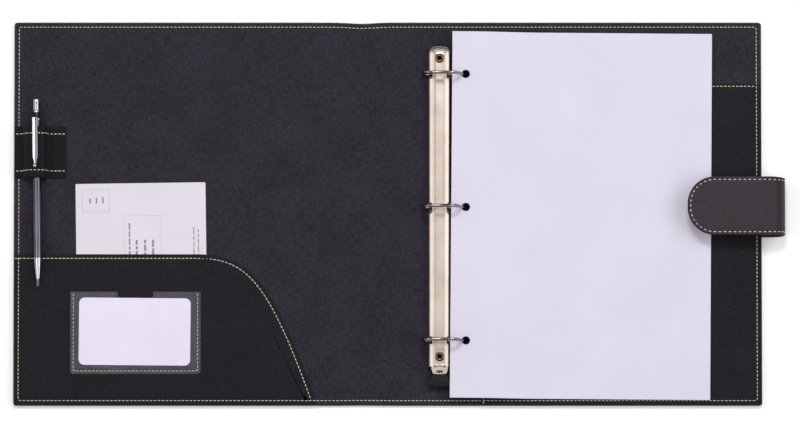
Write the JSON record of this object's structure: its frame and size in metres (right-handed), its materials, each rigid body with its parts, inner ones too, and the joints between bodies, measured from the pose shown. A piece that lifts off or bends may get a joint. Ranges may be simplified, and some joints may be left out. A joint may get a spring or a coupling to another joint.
{
  "type": "portfolio case",
  "caption": "Open zipless A4 portfolio case with ring binder mechanism, slip pockets, card window, pen loop and closing strap, holding paper, cards and a pen.",
  "frame": {"origin": "middle of the open case's outline, strap included, on the surface that it lies on", "axes": "+X along the open case from the pen loop to the strap, +Y up the page, +Z off the table"},
  "size_m": [0.6226, 0.311, 0.0282],
  "materials": {
    "outer_leatherette": "embossed grain, satin",
    "greyboard": "matt",
    "lining": "woven, matt",
    "pocket_fabric": "woven, matt",
    "clear_film": "clear, glossy",
    "loop_band": "smooth, black",
    "card_stock": "smooth, satin",
    "postcard_stock": "uncoated",
    "paper": "uncoated",
    "pen_metal": "dark, polished",
    "pen_bright": "polished",
    "pen_black": "gloss",
    "refill_tube": "clear blue",
    "spring_steel": "drawn wire",
    "nickel": "nickel plate, satin",
    "leaf_steel": "plain",
    "pad_plastic": "moulded, black",
    "strap_leatherette": "pebble grain, satin",
    "magnet": "nickel plate"
  },
  "bodies": {
    "back_cover": {"back_skin": "outer_leatherette", "back_board": "greyboard", "back_lining": "lining", "back_pocket": "pocket_fabric", "ring_housing": "nickel", "mech_rivets": "nickel", "rivet_washers": "leaf_steel", "trigger_pin": "leaf_steel", "strap_base": "strap_leatherette", "paper_stack": "paper"},
    "spine": {"spine_skin": "outer_leatherette", "spine_board": "greyboard", "spine_lining": "lining"},
    "front_cover": {"front_skin": "outer_leatherette", "front_board": "greyboard", "front_lining": "lining", "front_pocket": "pocket_fabric", "card_window": "clear_film", "pen_loop": "loop_band", "keeper_magnet": "magnet"},
    "strap_root": {"strap_riser": "strap_leatherette"},
    "strap_end": {"strap_flap": "strap_leatherette", "strap_magnet": "magnet"},
    "ring_left": {"left_leaf": "leaf_steel", "left_rings": "nickel"},
    "ring_right": {"right_leaf": "leaf_steel", "right_rings": "nickel"},
    "trigger": {"trigger_lever": "leaf_steel", "trigger_pad": "pad_plastic"},
    "postcard": {"postcard": "postcard_stock"},
    "card": {"business_card": "card_stock"},
    "pen": {"pen_barrel": "pen_metal", "pen_cone": "pen_bright", "pen_clip": "pen_bright", "pen_collar": "pen_black", "pen_spring": "spring_steel"},
    "pen_button": {"pen_button": "pen_bright", "pen_refill": "refill_tube"}
  },
  "joints": [
    {"name": "spine_fold", "type": "hinge", "parent": "back_cover", "child": "spine", "pos_m": [0.0097, 0, 0.0042], "axis": [0, 1, 0], "range_deg": [0, 90]},
    {"name": "front_fold", "type": "hinge", "parent": "spine", "child": "front_cover", "pos_m": [-0.0353, 0, 0.0042], "axis": [0, 1, 0], "range_deg": [0, 90]},
    {"name": "strap_lift", "type": "hinge", "parent": "back_cover", "child": "strap_root", "pos_m": [0.293, 0.0045, 0.001], "axis": [0, 1, 0], "range_deg": [0, 90], "stiffness_Nm_per_rad": 0.3},
    {"name": "strap_bend", "type": "hinge", "parent": "strap_root", "child": "strap_end", "pos_m": [0.3113, 0.0045, 0.01335], "axis": [0, 1, 0], "range_deg": [-6, 150], "stiffness_Nm_per_rad": 0.1},
    {"name": "ring_left_open", "type": "hinge", "parent": "back_cover", "child": "ring_left", "pos_m": [0.0241, 0.0045, 0.00545], "axis": [0, -1, 0], "range_deg": [0, 12], "stiffness_Nm_per_rad": 0.4},
    {"name": "ring_right_open", "type": "hinge", "parent": "back_cover", "child": "ring_right", "pos_m": [0.0411, 0.0045, 0.00545], "axis": [0, 1, 0], "range_deg": [0, 12]},
    {"name": "trigger_press", "type": "hinge", "parent": "back_cover", "child": "trigger", "pos_m": [0.0326, -0.1215, 0.0068], "axis": [1, 0, 0], "range_deg": [0, 10]},
    {"name": "postcard_slide", "type": "slide", "parent": "front_cover", "child": "postcard", "axis": [0, 1, 0], "range_m": [-0.02, 0.115]},
    {"name": "card_slide", "type": "slide", "parent": "front_cover", "child": "card", "axis": [0, 1, 0], "range_m": [-0.003, 0.06]},
    {"name": "pen_slide", "type": "slide", "parent": "front_cover", "child": "pen", "axis": [-0.0131, 0.9999, 0], "range_m": [0, 0.135]},
    {"name": "pen_click", "type": "slide", "parent": "pen", "child": "pen_button", "axis": [0.0131, -0.9999, 0], "range_m": [0, 0.005], "stiffness_N_per_m": 200, "deforming": ["pen_spring"]}
  ],
  "couplings": [
    {"joint": "ring_right_open", "follows": "ring_left_open", "ratio": 1},
    {"joint": "trigger_press", "follows": "ring_left_open", "ratio": 0.83333}
  ]
}
